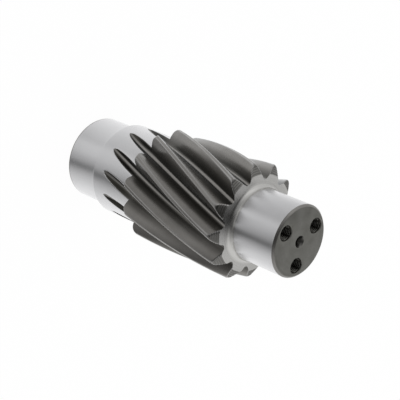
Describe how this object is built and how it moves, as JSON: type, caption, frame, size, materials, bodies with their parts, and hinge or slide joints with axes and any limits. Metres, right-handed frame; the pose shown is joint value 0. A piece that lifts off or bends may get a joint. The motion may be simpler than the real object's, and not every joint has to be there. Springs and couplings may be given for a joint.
{
  "type": "helical pinion shaft",
  "caption": "Solid steel pinion shaft with right-hand helical teeth that run out into a collar, a ground bearing journal at each end, and a tapped end face for a bolted end plate.",
  "frame": {"origin": "centre of the large journal's end face, on which the shaft stands upright", "axes": "+Z is the shaft's axis of rotation, from the large journal up to the tapped end; +X and +Y lie in the end face"},
  "size_m": [0.1224, 0.1224, 0.298],
  "materials": {
    "ground_steel": "bright ground journals, collar and shoulder, with dark hardened and hobbed teeth and a dark turned end face"
  },
  "bodies": {
    "root": {"pinion_shaft": "ground_steel"}
  },
  "joints": []
}
